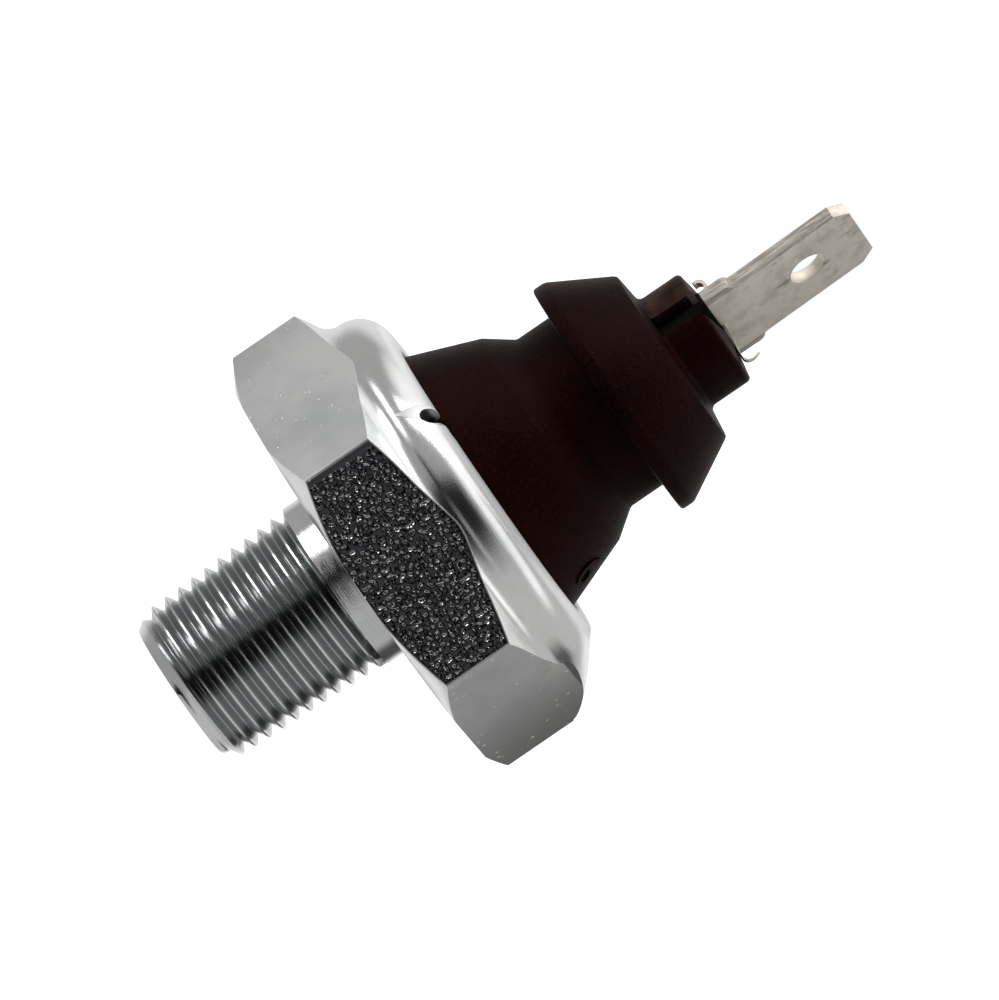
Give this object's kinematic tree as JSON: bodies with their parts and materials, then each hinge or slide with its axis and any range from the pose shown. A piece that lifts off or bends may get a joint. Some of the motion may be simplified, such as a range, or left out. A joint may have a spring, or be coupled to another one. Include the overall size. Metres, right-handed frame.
{
  "type": "oil pressure sender",
  "caption": "Diaphragm oil pressure contact: plated steel hexagon body with a taper thread and crimped collar, brown moulded insulator and one flat blade terminal.",
  "frame": {"origin": "centre of the thread's tip, on the axis", "axes": "+Z along the axis from the thread's tip to the blade; +X to a hexagon corner; -Y square to a hexagon flat"},
  "size_m": [0.0278, 0.024, 0.0461],
  "materials": {
    "zinc_steel": "bright zinc plate, turned and crimped",
    "brown_plastic": "dark brown thermoset moulding, fine grain",
    "tinned_brass": "dull tin plate over stamped brass, lightly stained",
    "seal_rubber": "moulded rubber",
    "diaphragm_cloth": "rubber-coated cloth",
    "gasket_fibre": "pressed fibre",
    "contact_steel": "pressed and passivated",
    "contact_brass": "stamped brass",
    "plunger_plastic": "natural moulding"
  },
  "bodies": {
    "housing": {"hex_body": "zinc_steel", "seal_ring": "seal_rubber", "diaphragm": "diaphragm_cloth", "contact_ring": "contact_steel", "base_gasket": "gasket_fibre", "contact_spring": "contact_steel", "spring_cup": "contact_steel", "setting_screw": "contact_brass", "screw_bush": "contact_brass", "insulator": "brown_plastic", "terminal_blade": "tinned_brass"},
    "contact_group": {"plunger": "plunger_plastic", "moving_contact": "contact_brass"}
  },
  "joints": [
    {"name": "contact_travel", "type": "slide", "parent": "housing", "child": "contact_group", "axis": [0, 0, 1], "range_m": [0, 0.0005], "stiffness_N_per_m": 1000, "deforming": ["contact_spring", "diaphragm"]}
  ]
}
